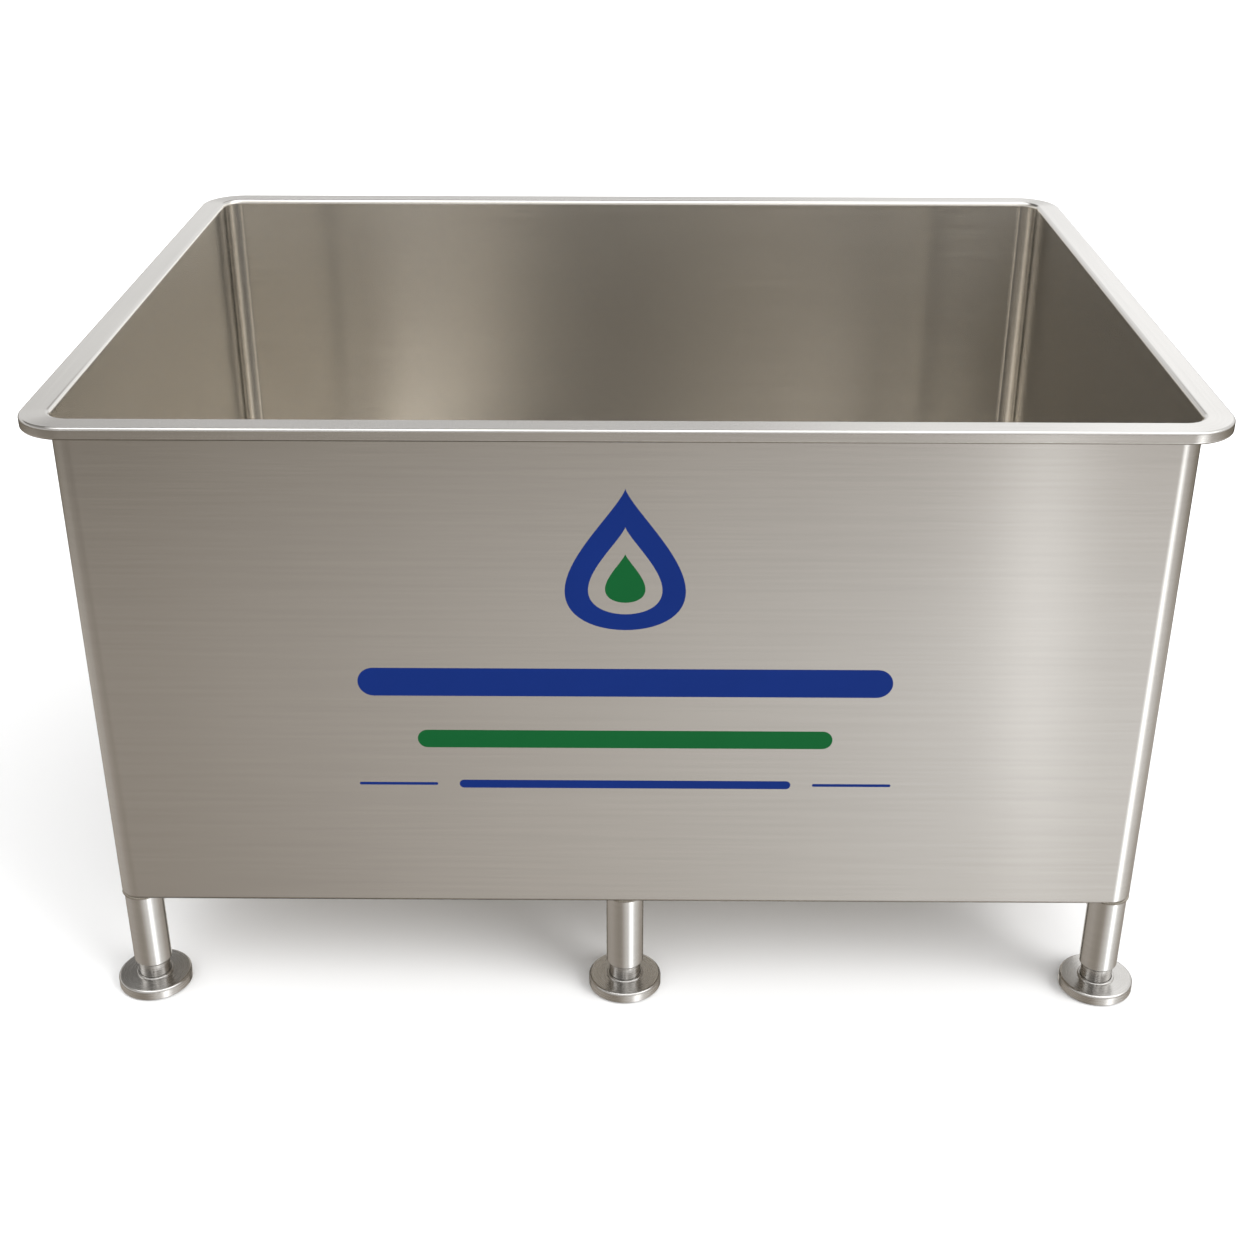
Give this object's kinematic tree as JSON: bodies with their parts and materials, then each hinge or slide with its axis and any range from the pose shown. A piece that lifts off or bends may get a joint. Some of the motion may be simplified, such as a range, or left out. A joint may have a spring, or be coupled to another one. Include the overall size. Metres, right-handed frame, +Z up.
{
  "type": "bulk milk tank",
  "caption": "Open rectangular stainless milk tank with a folded rim, a floor falling to a piped outlet with a butterfly valve, and screw-adjustable feet.",
  "frame": {"origin": "on the floor under the middle of the rim", "axes": "+X along the tank's length, front towards -Y, +Z up"},
  "size_m": [1.44, 1.118, 0.846],
  "materials": {
    "satin_stainless": "satin, brushed along the sheet",
    "polished_stainless": "polished dairy tube",
    "turned_stainless": "turned",
    "foot_rubber": "matt",
    "seal_rubber": "smooth food-grade"
  },
  "bodies": {
    "tub": {"front_wall": "satin_stainless", "rear_wall": "satin_stainless", "left_wall": "satin_stainless", "right_wall": "satin_stainless", "floor_pan": "satin_stainless", "rim_front": "satin_stainless", "rim_rear": "satin_stainless", "rim_left": "satin_stainless", "rim_right": "satin_stainless", "channel_left": "satin_stainless", "channel_middle": "satin_stainless", "channel_right": "satin_stainless", "leg_studs": "satin_stainless", "outlet_bend": "polished_stainless", "valve_body_front": "polished_stainless", "valve_body_rear": "polished_stainless", "valve_seal": "seal_rubber", "valve_bolts": "turned_stainless", "outlet_ferrule": "polished_stainless", "wall_corner_front_left": "satin_stainless", "wall_corner_front_right": "satin_stainless", "wall_corner_rear_left": "satin_stainless", "wall_corner_rear_right": "satin_stainless", "rim_corner_front_left": "satin_stainless", "rim_corner_front_right": "satin_stainless", "rim_corner_rear_left": "satin_stainless", "rim_corner_rear_right": "satin_stainless", "leg_front_left": "polished_stainless", "leg_front_middle": "polished_stainless", "leg_front_right": "polished_stainless", "leg_rear_left": "polished_stainless", "leg_rear_middle": "polished_stainless", "leg_rear_right": "polished_stainless"},
    "valve_shaft": {"valve_disc": "polished_stainless", "valve_handle": "polished_stainless"},
    "foot_front_left": {"foot_front_left_ring": "turned_stainless", "foot_front_left_disc": "turned_stainless", "foot_front_left_pad": "foot_rubber"},
    "screw_front_left": {"foot_front_left_sleeve": "turned_stainless"},
    "foot_front_middle": {"foot_front_middle_ring": "turned_stainless", "foot_front_middle_disc": "turned_stainless", "foot_front_middle_pad": "foot_rubber"},
    "screw_front_middle": {"foot_front_middle_sleeve": "turned_stainless"},
    "foot_front_right": {"foot_front_right_ring": "turned_stainless", "foot_front_right_disc": "turned_stainless", "foot_front_right_pad": "foot_rubber"},
    "screw_front_right": {"foot_front_right_sleeve": "turned_stainless"},
    "foot_rear_left": {"foot_rear_left_ring": "turned_stainless", "foot_rear_left_disc": "turned_stainless", "foot_rear_left_pad": "foot_rubber"},
    "screw_rear_left": {"foot_rear_left_sleeve": "turned_stainless"},
    "foot_rear_middle": {"foot_rear_middle_ring": "turned_stainless", "foot_rear_middle_disc": "turned_stainless", "foot_rear_middle_pad": "foot_rubber"},
    "screw_rear_middle": {"foot_rear_middle_sleeve": "turned_stainless"},
    "foot_rear_right": {"foot_rear_right_ring": "turned_stainless", "foot_rear_right_disc": "turned_stainless", "foot_rear_right_pad": "foot_rubber"},
    "screw_rear_right": {"foot_rear_right_sleeve": "turned_stainless"}
  },
  "joints": [
    {"name": "valve_turn", "type": "hinge", "parent": "tub", "child": "valve_shaft", "pos_m": [0.33, 0.43, 0.0802], "axis": [0, 0, 1], "range_deg": [0, 90]},
    {"name": "foot_front_left_slide", "type": "slide", "parent": "tub", "child": "foot_front_left", "axis": [0, 0, -1], "range_m": [-0.012, 0.045]},
    {"name": "foot_front_left_screw", "type": "hinge", "parent": "foot_front_left", "child": "screw_front_left", "pos_m": [-0.6575, -0.4965, 0.05], "axis": [0, 0, -1], "range_deg": [-1440, 5400]},
    {"name": "foot_front_middle_slide", "type": "slide", "parent": "tub", "child": "foot_front_middle", "axis": [0, 0, -1], "range_m": [-0.012, 0.045]},
    {"name": "foot_front_middle_screw", "type": "hinge", "parent": "foot_front_middle", "child": "screw_front_middle", "pos_m": [0, -0.4965, 0.05], "axis": [0, 0, -1], "range_deg": [-1440, 5400]},
    {"name": "foot_front_right_slide", "type": "slide", "parent": "tub", "child": "foot_front_right", "axis": [0, 0, -1], "range_m": [-0.012, 0.045]},
    {"name": "foot_front_right_screw", "type": "hinge", "parent": "foot_front_right", "child": "screw_front_right", "pos_m": [0.6575, -0.4965, 0.05], "axis": [0, 0, -1], "range_deg": [-1440, 5400]},
    {"name": "foot_rear_left_slide", "type": "slide", "parent": "tub", "child": "foot_rear_left", "axis": [0, 0, -1], "range_m": [-0.012, 0.045]},
    {"name": "foot_rear_left_screw", "type": "hinge", "parent": "foot_rear_left", "child": "screw_rear_left", "pos_m": [-0.6575, 0.4965, 0.05], "axis": [0, 0, -1], "range_deg": [-1440, 5400]},
    {"name": "foot_rear_middle_slide", "type": "slide", "parent": "tub", "child": "foot_rear_middle", "axis": [0, 0, -1], "range_m": [-0.012, 0.045]},
    {"name": "foot_rear_middle_screw", "type": "hinge", "parent": "foot_rear_middle", "child": "screw_rear_middle", "pos_m": [0, 0.4965, 0.05], "axis": [0, 0, -1], "range_deg": [-1440, 5400]},
    {"name": "foot_rear_right_slide", "type": "slide", "parent": "tub", "child": "foot_rear_right", "axis": [0, 0, -1], "range_m": [-0.012, 0.045]},
    {"name": "foot_rear_right_screw", "type": "hinge", "parent": "foot_rear_right", "child": "screw_rear_right", "pos_m": [0.6575, 0.4965, 0.05], "axis": [0, 0, -1], "range_deg": [-1440, 5400]}
  ],
  "couplings": [
    {"joint": "foot_front_left_screw", "follows": "foot_front_left_slide", "rad_per_m": 2094.4},
    {"joint": "foot_front_middle_screw", "follows": "foot_front_middle_slide", "rad_per_m": 2094.4},
    {"joint": "foot_front_right_screw", "follows": "foot_front_right_slide", "rad_per_m": 2094.4},
    {"joint": "foot_rear_left_screw", "follows": "foot_rear_left_slide", "rad_per_m": 2094.4},
    {"joint": "foot_rear_middle_screw", "follows": "foot_rear_middle_slide", "rad_per_m": 2094.4},
    {"joint": "foot_rear_right_screw", "follows": "foot_rear_right_slide", "rad_per_m": 2094.4}
  ]
}
